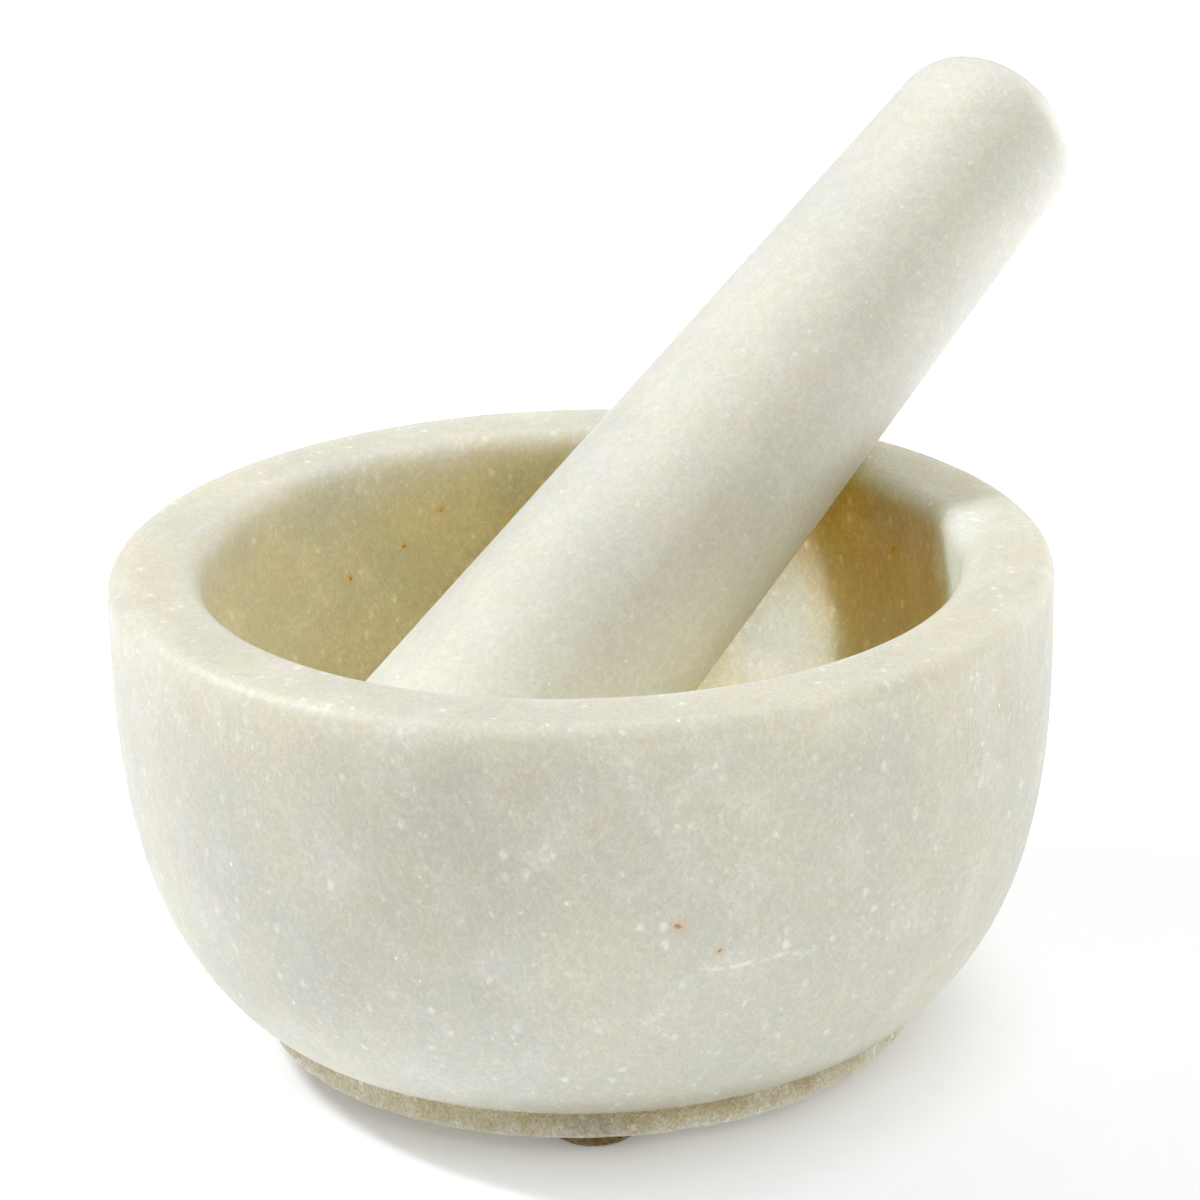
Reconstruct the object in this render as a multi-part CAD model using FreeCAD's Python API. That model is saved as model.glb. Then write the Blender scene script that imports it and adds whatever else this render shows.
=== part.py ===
import FreeCAD, Part
import math
import os

# A mortar and pestle, each turned from one block of marble. Lengths are in millimetres.
#
# Frame: +Z is up, and the origin is on the bowl's turning axis, at the plane that its
# bumpers stand on. The pestle rests in the bowl and leans over the rim towards +X, so the
# XZ plane cuts both pieces in half. The front is the -Y side.

# Bowl
BOWL_RADIUS = 73.0          # at the rim
BOWL_HEIGHT = 75.0          # marble only, from the foot's underside to the rim
WALL_AT_RIM = 14.5
FLOOR_THICKNESS = 18.0
RIM_OUTER_ROUND = 3.1
RIM_INNER_ROUND = 3.5

# Outside of the bowl: a quarter of a superellipse below a short upright band at the rim.
UPRIGHT_BAND = 3.0
OUTSIDE_REACH = 78.5        # how far below the band the whole quarter would reach
OUTSIDE_POWER = 3.12
OUTSIDE_END_HEIGHT = 7.6    # where the belly turns under to the foot

# Inside of the bowl: the same kind of curve, ending on the axis.
INNER_UPRIGHT_BAND = 4.0
INSIDE_POWER = 2.6

# Foot: a plain low ring that the belly meets in a soft crease.
FOOT_RADIUS = 52.0
FOOT_WALL_HEIGHT = 4.9
FOOT_EDGE_ROUND = 0.8
CREASE_ROUND = 1.2

# Self-adhesive bumpers under the foot
BUMPER_RADIUS = 7.0
BUMPER_HEIGHT = 2.3
BUMPER_EDGE_ROUND = 1.1
ADHESIVE_THICKNESS = 0.2
BUMPER_CIRCLE_RADIUS = 42.8
BUMPER_ANGLES = {
    "front_left": -138.0,
    "front_right": -42.0,
    "rear_right": 42.0,
    "rear_left": 138.0,
}

# Pestle: a plain taper with a round head and a rounded grip end. Distances along it are
# measured from the point where its axis crosses the plane of the rim.
PESTLE_LEAN = 29.0          # degrees above the horizontal
PESTLE_AXIS_AT_RIM = 23.8   # how far that crossing point is from the bowl's axis
PESTLE_RADIUS_AT_RIM = 18.9
PESTLE_TAPER = 0.035        # radius lost per unit of length towards the grip
HEAD_CENTRE_DEPTH = 61.0    # from the crossing point down to the centre of the round head
GRIP_LENGTH = 99.3          # from the crossing point up to the top of the grip
GRIP_END_ROUND = 10.0
GRIP_END_DOME_RADIUS = 60.0

FOOT_Z = BUMPER_HEIGHT + ADHESIVE_THICKNESS
RIM_Z = FOOT_Z + BOWL_HEIGHT
UP = FreeCAD.Vector(0, 0, 1)


def at(radius, height):
    """A point of a turned profile, drawn in the XZ plane."""
    return FreeCAD.Vector(radius, 0, height)


def superellipse_points(semi_radius, semi_height, power, top_height, end_angle, steps):
    """Points of a quarter superellipse, from its upright side down to end_angle."""
    points = []
    for step in range(steps + 1):
        angle = end_angle * step / steps
        cosine = math.cos(angle)
        sine = math.sin(angle)
        scale = (cosine ** power + sine ** power) ** (-1.0 / power)
        points.append(at(semi_radius * scale * cosine, top_height - semi_height * scale * sine))
    return points


def smooth_edge(points, start_direction, end_direction):
    """One smooth curve through the points, leaving and arriving in given directions."""
    curve = Part.BSplineCurve()
    curve.interpolate(Points=points, InitialTangent=start_direction, FinalTangent=end_direction)
    return curve.toShape()


def line(start, end):
    return Part.makeLine(start, end)


def tangent_arc(start, direction, end):
    """The arc that leaves start in the given direction and reaches end."""
    chord = end - start
    across = FreeCAD.Vector(-chord.z, 0, chord.x)
    turn = math.atan2(direction.dot(across), direction.dot(chord))
    middle = start + chord * 0.5 + across * (math.tan(turn / 2) / 2)
    return Part.Arc(start, middle, end).toShape()


def turned_solid(edges):
    """The solid that a closed profile in the XZ plane sweeps about the Z axis."""
    face = Part.Face(Part.Wire(edges))
    solid = face.revolve(FreeCAD.Vector(0, 0, 0), UP, 360)
    return solid if solid.Volume > 0 else solid.reversed()


def circles_at(shape, radius, height):
    """The circular edges of a turned shape that have this radius and height."""
    found = []
    for edge in shape.Edges:
        if edge.Degenerated or not isinstance(edge.Curve, Part.Circle):
            continue
        circle = edge.Curve
        same_radius = abs(circle.Radius - radius) < 0.01
        same_height = abs(circle.Center.z - height) < 0.01
        if same_radius and same_height:
            found.append(edge)
    return found


def outside_angle_at(height):
    """The superellipse's angle where the outside of the bowl is this far above its foot."""
    low = 0.0
    high = math.pi / 2
    top = BOWL_HEIGHT - UPRIGHT_BAND
    for _ in range(60):
        middle = (low + high) / 2
        point = superellipse_points(BOWL_RADIUS, OUTSIDE_REACH, OUTSIDE_POWER, top, middle, 1)[1]
        if point.z > height:
            low = middle
        else:
            high = middle
    return low


def mortar_bowl():
    band_z = BOWL_HEIGHT - UPRIGHT_BAND
    outside = superellipse_points(
        BOWL_RADIUS, OUTSIDE_REACH, OUTSIDE_POWER, band_z, outside_angle_at(OUTSIDE_END_HEIGHT), 16
    )
    belly_end = outside[-1]
    belly_direction = (belly_end - outside[-2]).normalize()

    inner_radius = BOWL_RADIUS - WALL_AT_RIM
    inner_band_z = BOWL_HEIGHT - INNER_UPRIGHT_BAND
    inside = superellipse_points(
        inner_radius, inner_band_z - FLOOR_THICKNESS, INSIDE_POWER, inner_band_z, math.pi / 2, 18
    )
    inside[-1] = at(0, FLOOR_THICKNESS)

    foot_top = at(FOOT_RADIUS, FOOT_WALL_HEIGHT)
    edges = [
        line(at(0, 0), at(FOOT_RADIUS, 0)),
        line(at(FOOT_RADIUS, 0), foot_top),
        tangent_arc(belly_end, belly_direction, foot_top),
        smooth_edge(outside, at(0, -1), belly_direction),
        line(at(BOWL_RADIUS, band_z), at(BOWL_RADIUS, BOWL_HEIGHT)),
        line(at(BOWL_RADIUS, BOWL_HEIGHT), at(inner_radius, BOWL_HEIGHT)),
        line(at(inner_radius, BOWL_HEIGHT), at(inner_radius, inner_band_z)),
        smooth_edge(inside, at(0, -1), at(-1, 0)),
        line(at(0, FLOOR_THICKNESS), at(0, 0)),
    ]
    bowl = turned_solid(edges)
    bowl = bowl.makeFillet(RIM_OUTER_ROUND, circles_at(bowl, BOWL_RADIUS, BOWL_HEIGHT))
    bowl = bowl.makeFillet(RIM_INNER_ROUND, circles_at(bowl, inner_radius, BOWL_HEIGHT))
    bowl = bowl.makeFillet(CREASE_ROUND, circles_at(bowl, FOOT_RADIUS, FOOT_WALL_HEIGHT))
    bowl = bowl.makeFillet(FOOT_EDGE_ROUND, circles_at(bowl, FOOT_RADIUS, 0))
    bowl.translate(FreeCAD.Vector(0, 0, FOOT_Z))
    return bowl


def pestle_radius(distance):
    """Radius of the plain taper at a distance along the axis, positive towards the grip."""
    return PESTLE_RADIUS_AT_RIM - PESTLE_TAPER * distance


def dome_height(radius):
    """How far up the axis the dome of the grip end is, at a radius from the axis."""
    return GRIP_LENGTH - GRIP_END_DOME_RADIUS + math.sqrt(GRIP_END_DOME_RADIUS ** 2 - radius ** 2)


def grip_corner():
    """Where the taper meets the dome of the grip end, before the corner is rounded."""
    height = GRIP_LENGTH
    for _ in range(5):
        height = dome_height(pestle_radius(height))
    return at(pestle_radius(height), height)


def pestle():
    taper_angle = math.atan(PESTLE_TAPER)
    head_radius = pestle_radius(-HEAD_CENTRE_DEPTH) * math.cos(taper_angle)
    head_end = at(0, -HEAD_CENTRE_DEPTH - head_radius)
    head_side = at(
        head_radius * math.cos(taper_angle),
        -HEAD_CENTRE_DEPTH + head_radius * math.sin(taper_angle),
    )
    head_middle = at(
        head_radius * math.cos(math.radians(45)),
        -HEAD_CENTRE_DEPTH - head_radius * math.sin(math.radians(45)),
    )

    corner = grip_corner()
    dome_middle = at(corner.x / 2, dome_height(corner.x / 2))
    grip_top = at(0, GRIP_LENGTH)

    edges = [
        Part.Arc(head_end, head_middle, head_side).toShape(),
        line(head_side, corner),
        Part.Arc(corner, dome_middle, grip_top).toShape(),
        line(grip_top, head_end),
    ]
    body = turned_solid(edges)
    body = body.makeFillet(GRIP_END_ROUND, circles_at(body, corner.x, corner.z))

    body.rotate(FreeCAD.Vector(0, 0, 0), FreeCAD.Vector(0, 1, 0), 90 - PESTLE_LEAN)
    body.translate(FreeCAD.Vector(PESTLE_AXIS_AT_RIM, 0, RIM_Z))
    return body


def on_bumper_circle(angle, height):
    turn = math.radians(angle)
    x = BUMPER_CIRCLE_RADIUS * math.cos(turn)
    y = BUMPER_CIRCLE_RADIUS * math.sin(turn)
    return FreeCAD.Vector(x, y, height)


def bumper(angle):
    """A flat polyurethane button with a rounded lower edge."""
    pad = Part.makeCylinder(BUMPER_RADIUS, BUMPER_HEIGHT)
    pad = pad.makeFillet(BUMPER_EDGE_ROUND, circles_at(pad, BUMPER_RADIUS, 0))
    pad.translate(on_bumper_circle(angle, 0))
    return pad


def adhesive_disc(angle):
    """The film that bonds a bumper to the marble."""
    disc = Part.makeCylinder(BUMPER_RADIUS, ADHESIVE_THICKNESS)
    disc.translate(on_bumper_circle(angle, BUMPER_HEIGHT))
    return disc


def all_parts():
    parts = {"mortar_bowl": mortar_bowl(), "pestle": pestle()}
    for place, angle in BUMPER_ANGLES.items():
        parts["bumper_" + place] = bumper(angle)
        parts["adhesive_disc_" + place] = adhesive_disc(angle)
    return parts


os.makedirs("parts", exist_ok=True)
parts = all_parts()
for node, shape in parts.items():
    if not shape.isValid() or len(shape.Solids) != 1:
        raise ValueError("bad solid: " + node)
    shape.exportStep("parts/" + node + ".step")
    box = shape.optimalBoundingBox()
    print(
        f"{node:28s} volume {shape.Volume / 1000:8.2f} cm3   "
        f"x {box.XMin:7.2f} {box.XMax:7.2f}   y {box.YMin:7.2f} {box.YMax:7.2f}   "
        f"z {box.ZMin:7.2f} {box.ZMax:7.2f}"
    )
gap = parts["mortar_bowl"].distToShape(parts["pestle"])
print(f"gap between bowl and pestle: {gap[0]:.3f} mm, at {gap[1][0][0]}")
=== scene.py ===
import math
import bpy
from mathutils import Matrix, Vector, noise


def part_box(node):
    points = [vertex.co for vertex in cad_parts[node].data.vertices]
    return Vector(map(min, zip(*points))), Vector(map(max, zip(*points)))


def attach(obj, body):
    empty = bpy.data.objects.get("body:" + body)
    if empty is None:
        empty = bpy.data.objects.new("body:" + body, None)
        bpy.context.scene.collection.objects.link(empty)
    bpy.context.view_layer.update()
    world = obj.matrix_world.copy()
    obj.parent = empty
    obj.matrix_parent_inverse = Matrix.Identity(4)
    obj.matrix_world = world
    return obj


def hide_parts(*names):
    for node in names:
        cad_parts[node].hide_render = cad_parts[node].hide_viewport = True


# A white marble mortar and pestle on amber bumpers. Lengths are in metres unless a name says otherwise.
# The bowl and the pestle are turned again here on a finer mesh, along the outlines of their CAD solids,
# and worn and chipped a little. The bumpers are moulded buttons in the place of the CAD ones.

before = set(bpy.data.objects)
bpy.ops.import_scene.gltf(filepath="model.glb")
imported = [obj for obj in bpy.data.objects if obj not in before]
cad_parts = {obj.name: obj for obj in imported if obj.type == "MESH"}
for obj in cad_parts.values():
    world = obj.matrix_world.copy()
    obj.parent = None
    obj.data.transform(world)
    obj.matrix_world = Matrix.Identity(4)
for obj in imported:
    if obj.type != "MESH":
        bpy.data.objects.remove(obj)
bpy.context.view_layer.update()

MM = 0.001

# ---------------------------------------------------------------- places and sizes

bowl_low, bowl_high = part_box("mortar_bowl")
FOOT_Z = bowl_low.z
RIM_Z = bowl_high.z
BOWL_RADIUS = (bowl_high.x - bowl_low.x) / 2
BOWL_HEIGHT = RIM_Z - FOOT_Z

WALL_AT_RIM = 14.5 * MM
FLOOR_THICKNESS = 18.0 * MM
RIM_OUTER_ROUND = 3.1 * MM
RIM_INNER_ROUND = 3.5 * MM
UPRIGHT_BAND = 3.0 * MM
INNER_UPRIGHT_BAND = 4.0 * MM
OUTSIDE_REACH = 78.5 * MM
OUTSIDE_POWER = 3.12
OUTSIDE_END_HEIGHT = 7.6 * MM
INSIDE_POWER = 2.6
FOOT_RADIUS = 52.0 * MM
FOOT_WALL_HEIGHT = 4.9 * MM
FOOT_EDGE_ROUND = 0.8 * MM
CREASE_ROUND = 1.2 * MM

PESTLE_LEAN = math.radians(29.0)
PESTLE_AXIS_AT_RIM = 23.8 * MM
PESTLE_RADIUS_AT_RIM = 18.9 * MM
PESTLE_TAPER = 0.035
HEAD_CENTRE_DEPTH = 61.0 * MM
GRIP_LENGTH = 99.3 * MM
GRIP_END_ROUND = 10.0 * MM
GRIP_END_DOME_RADIUS = 60.0 * MM

PLACES = ("front_left", "front_right", "rear_right", "rear_left")


# ---------------------------------------------------------------- outlines

def straight(start, end, step):
    """Points from start up to, but not including, end."""
    length = math.dist(start, end)
    count = max(1, round(length / step))
    points = []
    for i in range(count):
        share = i / count
        points.append((start[0] + (end[0] - start[0]) * share, start[1] + (end[1] - start[1]) * share))
    return points


def arc(centre, radius, start, end, step):
    """Points along an arc from angle start up to, but not including, angle end."""
    count = max(3, round(abs(end - start) * radius / step))
    points = []
    for i in range(count):
        angle = start + (end - start) * i / count
        points.append((centre[0] + radius * math.cos(angle), centre[1] + radius * math.sin(angle)))
    return points


def superellipse(semi_radius, semi_height, power, top, angle):
    """The point of a superellipse at this angle below its upright side."""
    cosine = max(math.cos(angle), 0.0)
    sine = math.sin(angle)
    scale = (cosine ** power + sine ** power) ** (-1 / power)
    return semi_radius * scale * cosine, top - semi_height * scale * sine


def outside_point(angle):
    return superellipse(BOWL_RADIUS, OUTSIDE_REACH, OUTSIDE_POWER, RIM_Z - UPRIGHT_BAND, angle)


def outside_end_angle():
    """The angle where the belly turns under to the foot."""
    low = 0.0
    high = math.pi / 2
    for _ in range(50):
        middle = (low + high) / 2
        if outside_point(middle)[1] > FOOT_Z + OUTSIDE_END_HEIGHT:
            low = middle
        else:
            high = middle
    return low


def turned_corner(corner, before, after, radius, step):
    """Points of the arc that rounds a corner between two unit directions, in and out."""
    sideways = before[0] * after[1] - before[1] * after[0]
    turn = math.atan2(sideways, before[0] * after[0] + before[1] * after[1])
    reach = radius * math.tan(abs(turn) / 2)
    start = (corner[0] - before[0] * reach, corner[1] - before[1] * reach)
    side = 1 if turn > 0 else -1
    centre = (start[0] - before[1] * radius * side, start[1] + before[0] * radius * side)
    first = math.atan2(start[1] - centre[1], start[0] - centre[0])
    return arc(centre, radius, first, first + turn, step), reach


def belly_lip(step):
    """The arc from the foot's top to the end of the belly, and its direction at the foot."""
    end_angle = outside_end_angle()
    belly_end = outside_point(end_angle)
    above = outside_point(end_angle - 0.01)
    foot_top = (FOOT_RADIUS, FOOT_Z + FOOT_WALL_HEIGHT)
    along = math.atan2(above[1] - belly_end[1], above[0] - belly_end[0])
    chord = math.atan2(belly_end[1] - foot_top[1], belly_end[0] - foot_top[0])
    half_turn = along - chord
    radius = math.dist(foot_top, belly_end) / (2 * math.sin(half_turn))
    first = chord - half_turn
    centre = (foot_top[0] - radius * math.sin(first), foot_top[1] + radius * math.cos(first))
    reach = CREASE_ROUND * math.tan((math.pi / 2 - first) / 2)
    skipped = reach / radius
    start = first - math.pi / 2 + skipped
    return arc(centre, radius, start, along - math.pi / 2, step), (math.cos(first), math.sin(first))


def bowl_outline():
    """From the middle of the underside, round the outside and over the rim, to the middle of the floor."""
    fine = 0.45 * MM
    inner_radius = BOWL_RADIUS - WALL_AT_RIM
    quarter = math.pi / 2

    edge_centre = (FOOT_RADIUS - FOOT_EDGE_ROUND, FOOT_Z + FOOT_EDGE_ROUND)
    foot_top = (FOOT_RADIUS, FOOT_Z + FOOT_WALL_HEIGHT)
    lip, lip_direction = belly_lip(0.8 * MM)
    crease, crease_reach = turned_corner(foot_top, (0, 1), lip_direction, CREASE_ROUND, 0.35 * MM)

    points = straight((0, FOOT_Z), (edge_centre[0], FOOT_Z), 2.0 * MM)
    points += arc(edge_centre, FOOT_EDGE_ROUND, -quarter, 0, 0.3 * MM)
    points += straight((FOOT_RADIUS, edge_centre[1]), (FOOT_RADIUS, foot_top[1] - crease_reach), fine)
    points += crease
    points += lip

    belly_steps = 66
    end_angle = outside_end_angle()
    for i in range(belly_steps):
        points.append(outside_point(end_angle * (1 - i / belly_steps)))

    outer_centre = (BOWL_RADIUS - RIM_OUTER_ROUND, RIM_Z - RIM_OUTER_ROUND)
    inner_centre = (inner_radius + RIM_INNER_ROUND, RIM_Z - RIM_INNER_ROUND)
    points += arc(outer_centre, RIM_OUTER_ROUND, 0, quarter, fine)
    points += straight((outer_centre[0], RIM_Z), (inner_centre[0], RIM_Z), 1.2 * MM)
    points += arc(inner_centre, RIM_INNER_ROUND, quarter, 2 * quarter, fine)

    inner_top = RIM_Z - INNER_UPRIGHT_BAND
    depth = BOWL_HEIGHT - INNER_UPRIGHT_BAND - FLOOR_THICKNESS
    inside_steps = 72
    for i in range(inside_steps):
        points.append(superellipse(inner_radius, depth, INSIDE_POWER, inner_top, quarter * i / inside_steps))
    points.append((0, FOOT_Z + FLOOR_THICKNESS))
    return points


def grip_round_centre():
    """The centre of the round that joins the pestle's taper to the dome of its grip end."""
    slope = math.hypot(1, PESTLE_TAPER)
    height = GRIP_LENGTH - GRIP_END_ROUND
    for _ in range(40):
        radius = PESTLE_RADIUS_AT_RIM - PESTLE_TAPER * height - GRIP_END_ROUND * slope
        height = (
            GRIP_LENGTH - GRIP_END_DOME_RADIUS
            + math.sqrt((GRIP_END_DOME_RADIUS - GRIP_END_ROUND) ** 2 - radius ** 2)
        )
    return radius, height


def pestle_outline():
    """From the tip of the head, up the taper, to the middle of the grip's end. Heights are along its axis."""
    tilt = math.atan(PESTLE_TAPER)
    head_radius = (PESTLE_RADIUS_AT_RIM + PESTLE_TAPER * HEAD_CENTRE_DEPTH) * math.cos(tilt)
    round_centre = grip_round_centre()
    dome_centre = (0, GRIP_LENGTH - GRIP_END_DOME_RADIUS)
    meeting = math.atan2(round_centre[1] - dome_centre[1], round_centre[0])

    side_start = (head_radius * math.cos(tilt), -HEAD_CENTRE_DEPTH + head_radius * math.sin(tilt))
    side_end = (
        round_centre[0] + GRIP_END_ROUND * math.cos(tilt),
        round_centre[1] + GRIP_END_ROUND * math.sin(tilt),
    )
    points = arc((0, -HEAD_CENTRE_DEPTH), head_radius, -math.pi / 2, tilt, 1.0 * MM)
    points += straight(side_start, side_end, 1.0 * MM)
    points += arc(round_centre, GRIP_END_ROUND, tilt, meeting, 0.7 * MM)
    points += arc(dome_centre, GRIP_END_DOME_RADIUS, meeting, math.pi / 2, 1.0 * MM)
    points.append((0, GRIP_LENGTH))
    return points


# ---------------------------------------------------------------- turned meshes

BOWL_SEGMENTS = 432
PESTLE_SEGMENTS = 256
BUMPER_SEGMENTS = 96


def turned_mesh(name, outline, segments):
    """A closed mesh that an outline from axis to axis sweeps about Z."""
    vertices = [(0, 0, outline[0][1])]
    for radius, height in outline[1:-1]:
        for i in range(segments):
            turn = 2 * math.pi * i / segments
            vertices.append((radius * math.cos(turn), radius * math.sin(turn), height))
    vertices.append((0, 0, outline[-1][1]))
    last = len(vertices) - 1

    faces = []
    rings = len(outline) - 2
    for i in range(segments):
        following = (i + 1) % segments
        faces.append((0, 1 + following, 1 + i))
        for ring in range(rings - 1):
            low = 1 + ring * segments
            high = low + segments
            faces.append((low + i, low + following, high + following, high + i))
        top = 1 + (rings - 1) * segments
        faces.append((top + i, top + following, last))

    mesh = bpy.data.meshes.new(name)
    mesh.from_pydata(vertices, [], faces)
    mesh.shade_smooth()
    mesh.update()
    piece = bpy.data.objects.new(name, mesh)
    bpy.context.scene.collection.objects.link(piece)
    return piece


def wear_down(piece, depth_at):
    """Moves each vertex inwards, against its normal, by depth_at(its place)."""
    mesh = piece.data
    moved = []
    for vertex in mesh.vertices:
        moved.append(vertex.co - vertex.normal * depth_at(vertex.co))
    for vertex, place in zip(mesh.vertices, moved):
        vertex.co = place
    mesh.update()


def share_between(value, low, high):
    """0 at low and below, 1 at high and above, and smooth between."""
    share = min(max((value - low) / (high - low), 0.0), 1.0)
    return share * share * (3 - 2 * share)


def unevenness(place, size):
    """Smooth noise from 0 to 1, with lumps of about this size."""
    return 0.5 + 0.5 * noise.noise(place / size)


def hand_finish(place):
    """A hand-held polish leaves faint, wide flats on turned marble."""
    flats = 0.10 * MM * unevenness(place, 22 * MM)
    ripples = 0.03 * MM * unevenness(place, 7 * MM)
    return flats + ripples


def foot_finish(place):
    """The foot ring is only sawn and rubbed, so it is pitted and its lower edge is chipped."""
    depth = hand_finish(place)
    height = place.z - FOOT_Z
    radius = math.hypot(place.x, place.y)
    on_foot = 1 - share_between(height, FOOT_WALL_HEIGHT * 0.75, FOOT_WALL_HEIGHT * 1.15)
    on_foot *= share_between(radius, FOOT_RADIUS * 0.5, FOOT_RADIUS * 0.9)
    if on_foot <= 0:
        return depth
    pits = 0.22 * MM * unevenness(place, 2.6 * MM) + 0.14 * MM * unevenness(place, 1.1 * MM)
    at_edge = 1 - share_between(height, FOOT_EDGE_ROUND, FOOT_EDGE_ROUND * 2.2)
    chips = 0.4 * MM * at_edge * share_between(unevenness(place, 4.5 * MM), 0.62, 0.85)
    return depth + on_foot * (pits + chips)


def make_bowl():
    bowl = turned_mesh("marble_bowl", bowl_outline(), BOWL_SEGMENTS)
    wear_down(bowl, foot_finish)
    return bowl


def make_pestle():
    pestle = turned_mesh("marble_pestle", pestle_outline(), PESTLE_SEGMENTS)
    wear_down(pestle, hand_finish)
    lean = Matrix.Rotation(math.pi / 2 - PESTLE_LEAN, 4, "Y")
    pestle.data.transform(Matrix.Translation((PESTLE_AXIS_AT_RIM, 0, RIM_Z)) @ lean)
    return pestle


def make_bumper(place):
    """A moulded button: drafted side, rounded lower edge and the small dimple of its gate underneath."""
    low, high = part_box("bumper_" + place)
    radius = (high.x - low.x) / 2
    height = high.z - low.z
    edge = 1.1 * MM
    draft = 0.15 * MM
    gate_radius = 0.9 * MM
    gate_depth = 0.12 * MM
    step = 0.25 * MM
    outline = [(0, gate_depth)]
    outline += straight((gate_radius * 0.4, gate_depth), (gate_radius * 0.8, gate_depth), step)
    outline += straight((gate_radius * 0.8, gate_depth), (gate_radius, 0), 0.1 * MM)
    outline += straight((gate_radius, 0), (radius - draft - edge, 0), 0.5 * MM)
    outline += arc((radius - draft - edge, edge), edge, -math.pi / 2, 0, step)
    outline += straight((radius - draft, edge), (radius, height), step)
    outline += straight((radius, height), (0, height), 1.5 * MM)
    outline.append((0, height))
    button = turned_mesh("bumper_button_" + place, outline, BUMPER_SEGMENTS)
    button.data.transform(Matrix.Translation(((low.x + high.x) / 2, (low.y + high.y) / 2, low.z)))
    return button


# ---------------------------------------------------------------- camera and light

# The photograph's view: a long lens at ten bowl radii, on the side away from the pestle's lean.
VIEW_AZIMUTH = math.radians(-90.0 - 48.1)
VIEW_ELEVATION = math.radians(22.69)
VIEW_DISTANCE = 10.0 * BOWL_RADIUS
VIEW_YAW = math.radians(-0.23)
VIEW_PITCH = math.radians(-2.16)
VIEW_ROLL = math.radians(-1.40)
SENSOR = 36.0
LENS = 139.2


def turned(first, second, angle):
    """Two square directions, both turned by an angle in their own plane."""
    return (
        first * math.cos(angle) + second * math.sin(angle),
        second * math.cos(angle) - first * math.sin(angle),
    )


def make_camera():
    middle = Vector((0, 0, FOOT_Z + BOWL_HEIGHT / 2))
    away = Vector((math.cos(VIEW_AZIMUTH), math.sin(VIEW_AZIMUTH), 0))
    forward = -away * math.cos(VIEW_ELEVATION) - Vector((0, 0, math.sin(VIEW_ELEVATION)))
    right = Vector((-math.sin(VIEW_AZIMUTH), math.cos(VIEW_AZIMUTH), 0))
    up = right.cross(forward)
    place = middle - forward * VIEW_DISTANCE
    right, forward = turned(right, forward, VIEW_YAW)
    up, forward = turned(up, forward, VIEW_PITCH)
    right, up = turned(right, up, VIEW_ROLL)

    data = bpy.data.cameras.new("camera")
    data.lens = LENS
    data.sensor_width = SENSOR
    data.clip_end = 100
    camera = bpy.data.objects.new("camera", data)
    facing = Matrix((right, up, -forward)).transposed().to_4x4()
    camera.matrix_world = Matrix.Translation(place) @ facing
    bpy.context.scene.collection.objects.link(camera)
    bpy.context.scene.camera = camera


LIGHT_DISTANCE = 1.4
PANEL_SIZE = 1.0
KEY_SIZE = 0.14


def soft_light(name, azimuth, elevation, power, tint, size=PANEL_SIZE):
    """A square soft light aimed at the bowl. Its azimuth is measured from straight right of the camera."""
    turn = VIEW_AZIMUTH + math.pi / 2 + math.radians(azimuth)
    rise = math.radians(elevation)
    direction = Vector((math.cos(turn) * math.cos(rise), math.sin(turn) * math.cos(rise), math.sin(rise)))
    data = bpy.data.lights.new(name, "AREA")
    data.shape = "SQUARE"
    data.size = size
    data.energy = power
    data.color = tint
    light = bpy.data.objects.new(name, data)
    light.location = Vector((0, 0, BOWL_HEIGHT / 2)) + direction * LIGHT_DISTANCE
    light.rotation_euler = direction.to_track_quat("Z", "Y").to_euler()
    light.visible_camera = False
    bpy.context.scene.collection.objects.link(light)


FLOOR_GLOW_STEPS_WITH_PAINTED_SHADE = (              # floor glow, weaker near the object as a painted shadow round its base: distance and strength
    (FOOT_RADIUS, 0.215),
    (76.0 * MM, 0.35),
    (300.0 * MM, 0.40),
    (1200.0 * MM, 1.00),
)
TABLE_RADIUS = 1300.0 * MM  # the table ends before the light panels
SURROUND_RADIUS = 12.0
SKY_STRENGTH = 0.02
SHADOW_DEPTH = 0.12         # brightness that prints as black


def make_lights():
    """One small key light at the left and large weak panels round it."""
    soft_light("key", 170, 47.3, 10.9, (0.98, 1.0, 1.04), KEY_SIZE)
    soft_light("overhead", 150, 80, 2.0, (1, 0.98, 0.93))
    soft_light("back_right_top", 60, 60, 3.2, (1, 0.98, 0.92))
    soft_light("front_right_panel", -45, 45, 6.7, (1, 0.995, 0.965))
    soft_light("front_panel", -100, 45, 2.2, (1, 0.95, 0.85))
    soft_light("left_panel", 160, 30, 1.6, (1, 0.88, 0.68))
    soft_light("low_right_panel", 42, 10, 7.6, (1, 1, 1))
    soft_light("low_back_panel", 90, 10, 1.4, (1, 1, 1))
    world = bpy.data.worlds.new("studio")
    world.use_nodes = True
    background = world.node_tree.nodes["Background"]
    background.inputs["Color"].default_value = (1, 1, 1, 1)
    background.inputs["Strength"].default_value = SKY_STRENGTH
    bpy.context.scene.world = world


def develop_print():
    """Prints the picture with deep shadows, so that shaded stone turns a fuller colour."""
    settings = bpy.context.scene.view_settings
    settings.view_transform = "Standard"
    settings.use_curve_mapping = True
    settings.curve_mapping.black_level = (SHADOW_DEPTH, SHADOW_DEPTH, SHADOW_DEPTH)
    settings.curve_mapping.update()


# ---------------------------------------------------------------- shader building blocks

def add(tree, kind, inputs=None, **properties):
    """Adds a shader node, sets its properties, and sets or links its inputs."""
    made = tree.nodes.new("ShaderNode" + kind)
    for name, value in properties.items():
        setattr(made, name, value)
    for name, value in (inputs or {}).items():
        socket = made.inputs[name]
        if isinstance(value, bpy.types.NodeSocket):
            tree.links.new(value, socket)
        else:
            socket.default_value = value
    return made


def calculate(tree, operation, first, second=0.0):
    return add(tree, "Math", {0: first, 1: second}, operation=operation).outputs[0]


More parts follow.
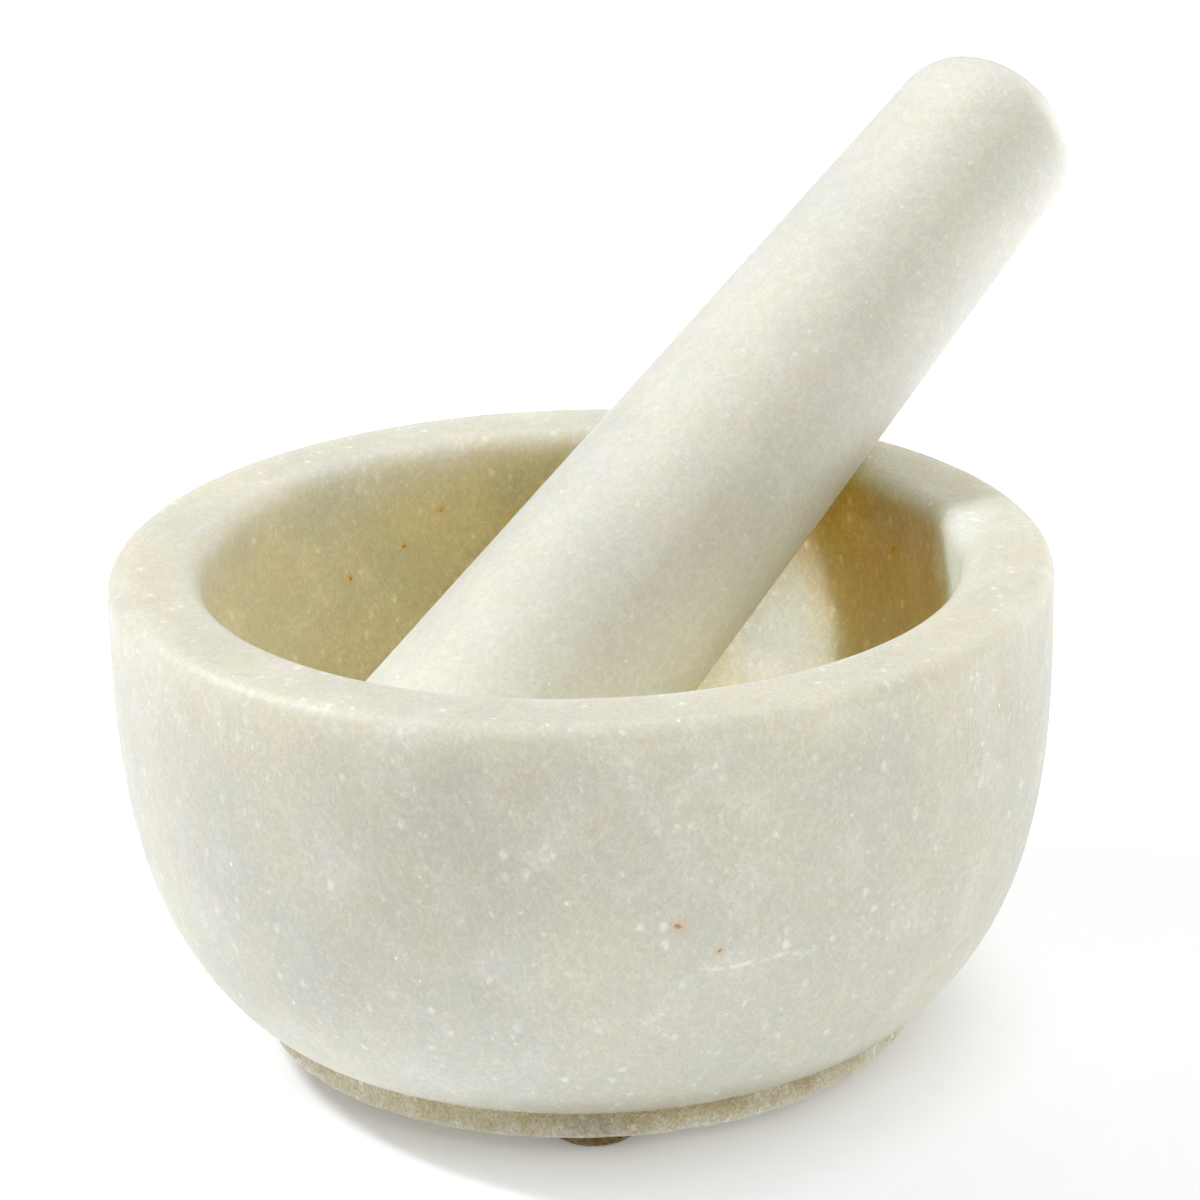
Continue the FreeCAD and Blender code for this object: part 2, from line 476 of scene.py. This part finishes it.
def remap(tree, value, low, high, to_low=0.0, to_high=1.0):
    """Takes low..high smoothly to to_low..to_high, and holds the ends outside it."""
    inputs = {"Value": value, "From Min": low, "From Max": high, "To Min": to_low, "To Max": to_high}
    return add(tree, "MapRange", inputs, interpolation_type="SMOOTHSTEP").outputs["Result"]


def mix_colour(tree, share, first, second, blend="MIX"):
    made = add(tree, "Mix", {0: share, 6: first, 7: second}, data_type="RGBA", blend_type=blend)
    return made.outputs[2]


def colour(red, green, blue):
    return red, green, blue, 1.0


def grey(tree, value):
    """The same value in all three channels."""
    return add(tree, "CombineColor", {"Red": value, "Green": value, "Blue": value}).outputs[0]


def placed(tree, stretch=(1, 1, 1), shift=(0, 0, 0), turn=(0, 0, 0)):
    """The surface's own place in millimetres, in axes that are shifted, turned and then stretched."""
    source = add(tree, "TexCoord").outputs["Object"]
    scale = [MM * amount for amount in stretch]
    location = [MM * amount for amount in shift]
    inputs = {"Vector": source, "Scale": scale, "Location": location, "Rotation": turn}
    return add(tree, "Mapping", inputs, vector_type="TEXTURE").outputs["Vector"]


def clouds(tree, place, size, detail=3.0, roughness=0.55):
    """Noise from 0 to 1 with lumps of this size."""
    inputs = {"Vector": place, "Scale": 1 / size, "Detail": detail, "Roughness": roughness}
    return add(tree, "TexNoise", inputs).outputs["Fac"]


def blurred_place(tree, place, size, amount):
    """The place, pushed about by noise, so that cells drawn from it lose their straight edges."""
    push = add(tree, "TexNoise", {"Vector": place, "Scale": 1 / size, "Detail": 2.0}).outputs["Color"]
    centred = add(tree, "VectorMath", {0: push, 1: (0.5, 0.5, 0.5)}, operation="SUBTRACT").outputs[0]
    pushed = add(tree, "VectorMath", {0: centred, "Scale": amount}, operation="SCALE").outputs[0]
    return add(tree, "VectorMath", {0: place, 1: pushed}, operation="ADD").outputs[0]


def grains(tree, place, size):
    """Cells of this size: how far the nearest middle is, and three random numbers for its cell."""
    cells = add(tree, "TexVoronoi", {"Vector": place, "Scale": 1 / size})
    numbers = add(tree, "SeparateColor", {"Color": cells.outputs["Color"]})
    return cells.outputs["Distance"], numbers.outputs


def new_material(name):
    material = bpy.data.materials.new(name)
    material.use_nodes = True
    return material, material.node_tree.nodes["Principled BSDF"]


# ---------------------------------------------------------------- marble

# Sizes of what the stone shows, in millimetres.
DRIFT_SIZE = 21
MOTTLE_SIZE = 7.5
CLOUD_SIZE = 10
BRIGHT_THREAD_SIZE = 2.3
DARK_THREAD_SIZE = 1.3
LARGE_FLECK_SIZE = 2.3
SMALL_FLECK_SIZE = 1.0
PAINTED_GLINT_SIZE = 1.6
POLISH_SIZE = 6
PITTING_SIZE = 0.6
PITTING_DEPTH = 0.08 * MM

RUST_HALO = colour(0.78, 0.62, 0.42)
RUST_CORE = colour(0.52, 0.28, 0.12)
# Painted highlight: the white that glints are painted with.
PAINTED_GLINT_COLOUR = colour(1.0, 1.0, 0.98)


def flecks(tree, place, size, share, radius, crowding):
    """Soft round flecks in some of the cells of this size. Crowding, 0 to 1, says where there are more."""
    distance, numbers = grains(tree, place, size)
    chance = calculate(tree, "MULTIPLY", crowding, share)
    chosen = calculate(tree, "LESS_THAN", numbers[0], chance)
    reach = remap(tree, numbers[1], 0.0, 1.0, radius * 0.35, radius)
    nearness = calculate(tree, "DIVIDE", distance, reach)
    soft = remap(tree, nearness, 0.22, 1.0, 1.0, 0.0)
    strength = remap(tree, numbers[2], 0.0, 1.0, 0.35, 1.0)
    return calculate(tree, "MULTIPLY", calculate(tree, "MULTIPLY", chosen, soft), strength)


def fibres(tree, place, size):
    """Thin wandering threads: 1 on a thread, 0 away from it."""
    wave = clouds(tree, place, size, 2.0, 0.6)
    off = calculate(tree, "ABSOLUTE", calculate(tree, "SUBTRACT", wave, 0.5))
    return remap(tree, off, 0.0, 0.06, 1.0, 0.0)


def spot(tree, place, centre, radius):
    """1 at a named place, in millimetres, falling to 0 at the radius."""
    away = add(tree, "VectorMath", {0: place, 1: centre}, operation="DISTANCE").outputs["Value"]
    return remap(tree, away, radius * 0.2, radius, 1.0, 0.0)


def rust(tree, base, spots):
    """Iron specks: a dark orange grain in a tan halo. Each spot is a place and a size, in millimetres."""
    ragged = blurred_place(tree, placed(tree), 0.6, 1.4)
    halo = None
    core = None
    for centre, size in spots:
        ring = spot(tree, ragged, centre, size * 2.6)
        middle = spot(tree, ragged, centre, size)
        halo = ring if halo is None else calculate(tree, "MAXIMUM", halo, ring)
        core = middle if core is None else calculate(tree, "MAXIMUM", core, middle)
    base = mix_colour(tree, calculate(tree, "MULTIPLY", halo, 0.5), base, RUST_HALO)
    return mix_colour(tree, calculate(tree, "MULTIPLY", core, 0.7), base, RUST_CORE)


def vein(tree, base, where, look):
    """A hairline of whiter crystals, nearly level, that fades out to both sides of its middle."""
    middle, reach = where
    place = blurred_place(tree, placed(tree), 6, 3.0)
    height = add(tree, "SeparateXYZ", {"Vector": place}).outputs[2]
    off = calculate(tree, "ABSOLUTE", calculate(tree, "SUBTRACT", height, middle[2]))
    line = remap(tree, off, 0.08, 0.60, 1.0, 0.0)
    broken = remap(tree, clouds(tree, place, 1.5, 2.0), 0.40, 0.60)
    near = spot(tree, place, middle, reach)
    share = calculate(tree, "MULTIPLY", calculate(tree, "MULTIPLY", line, broken), near)
    return mix_colour(tree, calculate(tree, "MULTIPLY", share, 0.6), base, look["crystal"])


def marble_colour(tree, place, look):
    """Cool and warm drifts, beige mottles, milky clouds, fine fibrous grain and white crystals."""
    drift = remap(tree, clouds(tree, place, DRIFT_SIZE, 2.0), 0.34, 0.66)
    base = mix_colour(tree, drift, look["cool"], look["warm"])
    mottle_place = placed(tree, shift=(31, 7, 12))
    mottle = remap(tree, clouds(tree, mottle_place, MOTTLE_SIZE, 3.0), 0.52, 0.72)
    base = mix_colour(tree, calculate(tree, "MULTIPLY", mottle, look["mottling"]), base, look["beige"])
    milky_place = placed(tree, shift=(3, 50, 22))
    milky = remap(tree, clouds(tree, milky_place, CLOUD_SIZE, 3.0), 0.46, 0.72)
    base = mix_colour(tree, calculate(tree, "MULTIPLY", milky, look["milkiness"]), base, look["milk"])

    bright_threads = fibres(tree, place, BRIGHT_THREAD_SIZE)
    dark_threads = fibres(tree, placed(tree, shift=(17, 5, 40)), DARK_THREAD_SIZE)
    weave = calculate(tree, "SUBTRACT", bright_threads, dark_threads)
    light = calculate(tree, "ADD", 1.0, calculate(tree, "MULTIPLY", weave, look["grain"]))
    base = mix_colour(tree, 1.0, base, grey(tree, light), "MULTIPLY")

    uneven = blurred_place(tree, place, 0.5, 1.4)
    crowding = remap(tree, milky, 0.0, 1.0, 0.5, 1.0)
    large = flecks(tree, uneven, LARGE_FLECK_SIZE, 0.75, 0.42, crowding)
    small = flecks(tree, uneven, SMALL_FLECK_SIZE, 0.65, 0.50, crowding)
    crystals = calculate(tree, "MAXIMUM", large, calculate(tree, "MULTIPLY", small, 0.8))
    return mix_colour(tree, calculate(tree, "MULTIPLY", crystals, look["flecks"]), base, look["crystal"])


def finish_marble(tree, shader, base, place, look, sawn=0.0):
    """Painted glints, white spots in the base colour that stand in for light on crystal faces and are made a
    little glossier; the uneven polish, and the light that enters the stone.
    """
    distance, numbers = grains(tree, place, PAINTED_GLINT_SIZE)
    chosen = calculate(tree, "LESS_THAN", numbers[0], look["painted_glints"])
    glint = calculate(tree, "MULTIPLY", chosen, remap(tree, distance, 0.10, 0.22, 1.0, 0.0))
    # Painted highlight: the chosen cells are painted white as glints.
    base = mix_colour(tree, glint, base, PAINTED_GLINT_COLOUR)
    tree.links.new(base, shader.inputs["Base Color"])

    wear = clouds(tree, place, POLISH_SIZE, 2.0)
    polish = remap(tree, wear, 0.3, 0.7, look["gloss"] - 0.06, look["gloss"] + 0.08)
    polish = calculate(tree, "SUBTRACT", polish, calculate(tree, "MULTIPLY", glint, 0.2))
    polish = calculate(tree, "ADD", polish, calculate(tree, "MULTIPLY", sawn, 0.25))
    tree.links.new(polish, shader.inputs["Roughness"])

    height = clouds(tree, place, PITTING_SIZE, 2.0, 0.7)
    strength = calculate(tree, "ADD", look["bump"], calculate(tree, "MULTIPLY", sawn, 0.5))
    bump = add(tree, "Bump", {"Height": height, "Strength": strength, "Distance": PITTING_DEPTH})
    tree.links.new(bump.outputs["Normal"], shader.inputs["Normal"])

    shader.inputs["Subsurface Weight"].default_value = 1.0
    shader.inputs["Subsurface Radius"].default_value = (1.0, 0.85, 0.65)
    shader.inputs["Subsurface Scale"].default_value = look["depth"] * MM
    shader.inputs["IOR"].default_value = 1.49


BOWL_LOOK = {
    "cool": colour(0.73, 0.73, 0.66),
    "warm": colour(0.775, 0.76, 0.66),
    "beige": colour(0.76, 0.70, 0.575),
    "milk": colour(0.86, 0.86, 0.83),
    "crystal": colour(0.99, 0.985, 0.95),
    "mottling": 0.28,
    "milkiness": 0.35,
    "grain": 0.055,
    "flecks": 0.66,
    "painted_glints": 0.03,
    "gloss": 0.50,
    "bump": 0.4,
    "depth": 12.0,
}
PESTLE_LOOK = {
    "cool": colour(0.83, 0.835, 0.78),
    "warm": colour(0.87, 0.86, 0.79),
    "beige": colour(0.84, 0.775, 0.66),
    "milk": colour(0.90, 0.90, 0.87),
    "crystal": colour(0.99, 0.985, 0.96),
    "mottling": 0.16,
    "milkiness": 0.35,
    "grain": 0.048,
    "flecks": 0.35,
    "painted_glints": 0.10,
    "gloss": 0.42,
    "bump": 0.3,
    "depth": 12.0,
}


# Heights in millimetres, from the rim down or from the foot's top up, where a region of the bowl fades.
# Painted light: below this band the inside is tinted lighter and warmer, for its worked stone and for the
# bounced light in the hollow.
WORKED_AND_BOUNCE_LIGHT_FROM_RIM = (15, 1)
INSIDE_WALL_FROM_RIM = (5, 1)
FOOT_EDGE_BAND = (-0.4, 0.7)
CREASE_SHADE_BAND = (1.0, 7.5)
CREASE_SHADE_SIDE_BAND = (-12.0, 30.0)        # distances along the shaded side's direction
CREASE_SHADE_TURN = math.radians(-75)         # the side where the edge above the foot gets painted shade


def bowl_regions(tree):
    """How far a place belongs to the bowl's inside (worked stone, tinted with painted warm bounce light),
    inside wall, sawn foot, and the crease above the foot on its shaded side (painted shade).
    """
    separate = add(tree, "SeparateXYZ", {"Vector": placed(tree)})
    x, y, height = separate.outputs
    around = add(tree, "CombineXYZ", {"X": x, "Y": y}).outputs[0]
    radius = add(tree, "VectorMath", {0: around}, operation="LENGTH").outputs["Value"]
    inner_radius = (BOWL_RADIUS - WALL_AT_RIM) / MM
    within = calculate(tree, "LESS_THAN", radius, inner_radius + RIM_INNER_ROUND / MM)
    above_floor = calculate(tree, "GREATER_THAN", height, (FOOT_Z + FLOOR_THICKNESS * 0.9) / MM)
    rim = RIM_Z / MM
    depth = remap(tree, height, rim - WORKED_AND_BOUNCE_LIGHT_FROM_RIM[0], rim - WORKED_AND_BOUNCE_LIGHT_FROM_RIM[1], 1.0, 0.0)
    hollow = calculate(tree, "MULTIPLY", within, above_floor)
    inside = calculate(tree, "MULTIPLY", hollow, depth)
    below_edge = remap(
        tree, height, rim - INSIDE_WALL_FROM_RIM[0], rim - INSIDE_WALL_FROM_RIM[1], 1.0, 0.0
    )
    inside_wall = calculate(tree, "MULTIPLY", hollow, below_edge)

    foot_top = (FOOT_Z + FOOT_WALL_HEIGHT) / MM
    above_foot = remap(tree, height, foot_top + FOOT_EDGE_BAND[0], foot_top + FOOT_EDGE_BAND[1])
    foot = calculate(tree, "SUBTRACT", 1.0, above_foot)
    # Painted shade: the edge above the foot darkens on the side away from the key light, fading upwards.
    crease_shade_side = (math.cos(CREASE_SHADE_TURN), math.sin(CREASE_SHADE_TURN), 0.0)
    towards = add(tree, "VectorMath", {0: around, 1: crease_shade_side}, operation="DOT_PRODUCT").outputs["Value"]
    fading = remap(tree, height, foot_top + CREASE_SHADE_BAND[0], foot_top + CREASE_SHADE_BAND[1], 1.0, 0.0)
    painted_crease_shade = calculate(tree, "MULTIPLY", remap(tree, towards, *CREASE_SHADE_SIDE_BAND), fading)
    return inside, inside_wall, foot, calculate(tree, "MULTIPLY", painted_crease_shade, above_foot)


def on_wall(semi_radius, semi_height, power, top, turn, height):
    """The place on a turned wall, in millimetres, at a turn in degrees and a height in millimetres."""
    drop = max(top / MM - height, 0.0) / (semi_height / MM)
    radius = semi_radius / MM * (1 - drop ** power) ** (1 / power)
    angle = math.radians(turn)
    return radius * math.cos(angle), radius * math.sin(angle), height


def on_outside(turn, height):
    return on_wall(BOWL_RADIUS, OUTSIDE_REACH, OUTSIDE_POWER, RIM_Z - UPRIGHT_BAND, turn, height)


def on_inside(turn, height):
    top = RIM_Z - INNER_UPRIGHT_BAND
    depth = top - FOOT_Z - FLOOR_THICKNESS
    return on_wall(BOWL_RADIUS - WALL_AT_RIM, depth, INSIDE_POWER, top, turn, height)


# Where the stone has something of its own, and where light or shade is painted on it: a place, and its size
# or reach in millimetres.
BOWL_RUST = (
    (on_outside(-128, 46), 0.75),
    (on_outside(-123, 41), 0.5),
    (on_outside(-142, 20), 0.3),
    (on_outside(96, 52), 0.6),
    (on_outside(23, 40), 0.5),
    (on_inside(44, 76), 0.6),
    (on_inside(65, 66), 0.55),
    (on_inside(72, 61), 0.5),
    (on_inside(83, 58), 0.6),
    (on_inside(-18, 66), 0.4),
)
BOWL_VEIN = (on_outside(-118, 38), 16.0)
# Painted light: two lit patches on the inside wall, beside the pestle's shadow.
PAINTED_LIGHT_PATCHES = (
    (on_inside(5, 47), 16.0),
    (on_inside(-41, 71), 13.0),
)
# Painted shadow: a browner, darker patch high on the inside wall, where the pestle's shadow falls.
PAINTED_SHADOW_SPOT = (on_inside(-17, 68), 36.0)

# Tints that multiply the stone's colour: above 1 it is lighter.
# Partly the worked stone, partly painted warm bounce light: the inside is lighter and warmer.
WORKED_AND_BOUNCE_LIGHT_TINT = colour(1.09, 1.058, 0.935)
# Painted shadow: the brown of the pestle's shadow on the inside wall.
PAINTED_SHADOW_TINT = colour(0.98, 0.885, 0.87)
# Painted light: lighter and bluer where the key light falls inside the bowl.
PAINTED_LIGHT_TINT = colour(1.16, 1.19, 1.27)
# Painted shade: the darker crease above the foot.
PAINTED_CREASE_SHADE_TINT = colour(0.80, 0.77, 0.70)
SAWN_TINT = colour(0.98, 0.94, 0.87)
SAWN_BROWN_TINT = colour(0.90, 0.83, 0.73)
CHIP_COLOUR = colour(0.97, 0.95, 0.88)


def sawn_colour(tree, base, foot):
    """The foot ring is only sawn: duller, brown in places, speckled, with whiter chips."""
    place = placed(tree)
    brown = remap(tree, clouds(tree, place, 4.0, 3.0), 0.35, 0.65)
    tint = mix_colour(tree, brown, SAWN_TINT, SAWN_BROWN_TINT)
    base = mix_colour(tree, foot, base, tint, "MULTIPLY")
    speckle = remap(tree, clouds(tree, place, 0.45, 2.0, 0.7), 0.3, 0.7, 0.86, 1.14)
    base = mix_colour(tree, foot, base, grey(tree, speckle), "MULTIPLY")
    chips = flecks(tree, blurred_place(tree, place, 0.5, 1.6), 1.6, 0.6, 0.5, 1.0)
    return mix_colour(tree, calculate(tree, "MULTIPLY", chips, foot), base, CHIP_COLOUR)


def make_bowl_marble():
    material, shader = new_material("bowl_marble")
    tree = material.node_tree
    place = placed(tree, stretch=(1, 1, 1.35))
    base = marble_colour(tree, place, BOWL_LOOK)
    base = vein(tree, base, BOWL_VEIN, BOWL_LOOK)
    base = rust(tree, base, BOWL_RUST)

    inside, inside_wall, foot, painted_crease_shade = bowl_regions(tree)
    drifting = blurred_place(tree, placed(tree), 9.0, 12.0)
    # Painted light: lit patches inside, which also lose the bounce tint and the painted shadow.
    painted_light = None
    for centre, reach in PAINTED_LIGHT_PATCHES:
        patch = spot(tree, drifting, centre, reach)
        painted_light = patch if painted_light is None else calculate(tree, "MAXIMUM", painted_light, patch)
    not_painted_light = calculate(tree, "SUBTRACT", 1.0, painted_light)
    # Painted light: the inside is tinted lighter and warmer for its bounced light, and for its worked stone.
    worked_and_bounce_light = calculate(tree, "MULTIPLY", inside, not_painted_light)
    base = mix_colour(tree, worked_and_bounce_light, base, WORKED_AND_BOUNCE_LIGHT_TINT, "MULTIPLY")
    # Painted shadow: the inside wall goes browner and darker where the pestle's shadow falls.
    painted_shadow = calculate(tree, "MULTIPLY", inside_wall, spot(tree, drifting, *PAINTED_SHADOW_SPOT))
    painted_shadow = calculate(tree, "MULTIPLY", painted_shadow, not_painted_light)
    base = mix_colour(tree, painted_shadow, base, PAINTED_SHADOW_TINT, "MULTIPLY")
    base = mix_colour(tree, painted_light, base, PAINTED_LIGHT_TINT, "MULTIPLY")
    # Painted shade on the crease above the foot.
    base = mix_colour(tree, painted_crease_shade, base, PAINTED_CREASE_SHADE_TINT, "MULTIPLY")
    base = sawn_colour(tree, base, foot)
    finish_marble(tree, shader, base, place, BOWL_LOOK, sawn=foot)
    return material


def make_pestle_marble():
    material, shader = new_material("pestle_marble")
    tree = material.node_tree
    place = placed(tree, stretch=(1, 1, 1.3), turn=(0, math.pi / 2 - PESTLE_LEAN, 0))
    base = marble_colour(tree, place, PESTLE_LOOK)
    finish_marble(tree, shader, base, place, PESTLE_LOOK)
    return material


# ---------------------------------------------------------------- bumpers and floor

AMBER_PALE = colour(0.60, 0.54, 0.46)
AMBER_DEEP = colour(0.45, 0.39, 0.31)
AMBER_DUST = colour(0.80, 0.70, 0.55)
AMBER_LIGHT_DEPTH = 2 * MM
FILM_MILKY = colour(0.66, 0.58, 0.40)
FILM_WETTED = colour(0.50, 0.38, 0.20)
PAPER = colour(0.90, 0.915, 0.945)
PAPER_GLOW = colour(0.97, 0.98, 1.0)


def make_amber():
    """Cast polyurethane, clear when new and now honey-brown, with dust on it."""
    material, shader = new_material("bumper_polyurethane")
    tree = material.node_tree
    place = placed(tree)
    age = remap(tree, clouds(tree, place, 2.5, 3.0), 0.3, 0.7)
    base = mix_colour(tree, age, AMBER_PALE, AMBER_DEEP)
    dust = remap(tree, clouds(tree, place, 0.5, 4.0, 0.7), 0.55, 0.75, 0.0, 0.35)
    base = mix_colour(tree, dust, base, AMBER_DUST)
    tree.links.new(base, shader.inputs["Base Color"])
    rough = remap(tree, clouds(tree, place, 0.9, 3.0), 0.3, 0.7, 0.18, 0.4)
    tree.links.new(rough, shader.inputs["Roughness"])
    bump = add(tree, "Bump", {"Height": clouds(tree, place, 0.6), "Strength": 0.3, "Distance": 0.04 * MM})
    tree.links.new(bump.outputs["Normal"], shader.inputs["Normal"])
    shader.inputs["Subsurface Weight"].default_value = 0.6
    shader.inputs["Subsurface Radius"].default_value = (1.0, 0.8, 0.6)
    shader.inputs["Subsurface Scale"].default_value = AMBER_LIGHT_DEPTH
    return material


def make_adhesive():
    """Acrylic film, milky where it has not wetted the stone."""
    material, shader = new_material("adhesive_film")
    tree = material.node_tree
    wetted = remap(tree, clouds(tree, placed(tree), 1.8, 4.0), 0.4, 0.6)
    base = mix_colour(tree, wetted, FILM_MILKY, FILM_WETTED)
    tree.links.new(base, shader.inputs["Base Color"])
    tree.links.new(remap(tree, wetted, 0.0, 1.0, 0.5, 0.25), shader.inputs["Roughness"])
    bump = add(tree, "Bump", {"Height": wetted, "Strength": 0.2, "Distance": 0.02 * MM})
    tree.links.new(bump.outputs["Normal"], shader.inputs["Normal"])
    return material


def make_floor():
    """White paper that glows like a lit table. The glow is weaker near the object, as a painted shadow round
    its base, and grows outwards, so the key light's shadow fades to white.
    """
    bpy.ops.mesh.primitive_circle_add(radius=TABLE_RADIUS, vertices=128, fill_type="NGON")
    floor = bpy.context.object
    floor.name = "floor"
    material, shader = new_material("floor_paper")
    tree = material.node_tree
    around = add(tree, "VectorMath", {0: placed(tree)}, operation="LENGTH").outputs["Value"]
    # Painted shadow: the glow is lowest round the object's base and rises away from it.
    glow = remap(tree, around, 0.0, 1.0, 0.0, FLOOR_GLOW_STEPS_WITH_PAINTED_SHADE[0][1])
    for (start, weak), (end, strong) in zip(FLOOR_GLOW_STEPS_WITH_PAINTED_SHADE, FLOOR_GLOW_STEPS_WITH_PAINTED_SHADE[1:]):
        glow = calculate(tree, "ADD", glow, remap(tree, around, start / MM, end / MM, 0.0, strong - weak))
    tree.links.new(glow, shader.inputs["Emission Strength"])
    fibre = remap(tree, clouds(tree, placed(tree), 0.8, 2.0), 0.3, 0.7, 0.97, 1.0)
    paper = mix_colour(tree, 1.0, PAPER, grey(tree, fibre), "MULTIPLY")
    tree.links.new(paper, shader.inputs["Base Color"])
    shader.inputs["Emission Color"].default_value = PAPER_GLOW
    shader.inputs["Roughness"].default_value = 0.8
    floor.data.materials.append(material)


def make_surround():
    """The white studio round the table. Only the camera sees it, so it adds no light to the object."""
    bpy.ops.mesh.primitive_uv_sphere_add(radius=SURROUND_RADIUS, segments=64, ring_count=32)
    surround = bpy.context.object
    surround.name = "surround"
    surround.visible_diffuse = False
    surround.visible_glossy = False
    surround.visible_transmission = False
    surround.visible_volume_scatter = False
    surround.visible_shadow = False
    material, shader = new_material("surround_white")
    shader.inputs["Base Color"].default_value = (0, 0, 0, 1)
    shader.inputs["Specular IOR Level"].default_value = 0.0
    shader.inputs["Emission Color"].default_value = (1, 1, 1, 1)
    shader.inputs["Emission Strength"].default_value = 1.1
    surround.data.materials.append(material)


# ---------------------------------------------------------------- the object

bowl = make_bowl()
bowl.data.materials.append(make_bowl_marble())
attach(bowl, "mortar")
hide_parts("mortar_bowl")

pestle = make_pestle()
pestle.data.materials.append(make_pestle_marble())
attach(pestle, "pestle")
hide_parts("pestle")

amber = make_amber()
film = make_adhesive()
for place in PLACES:
    button = make_bumper(place)
    button.data.materials.append(amber)
    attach(button, "mortar")
    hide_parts("bumper_" + place)
    disc = bpy.data.objects["adhesive_disc_" + place]
    for slot in disc.material_slots:
        slot.material = film

make_camera()
make_lights()
develop_print()
make_floor()
make_surround()
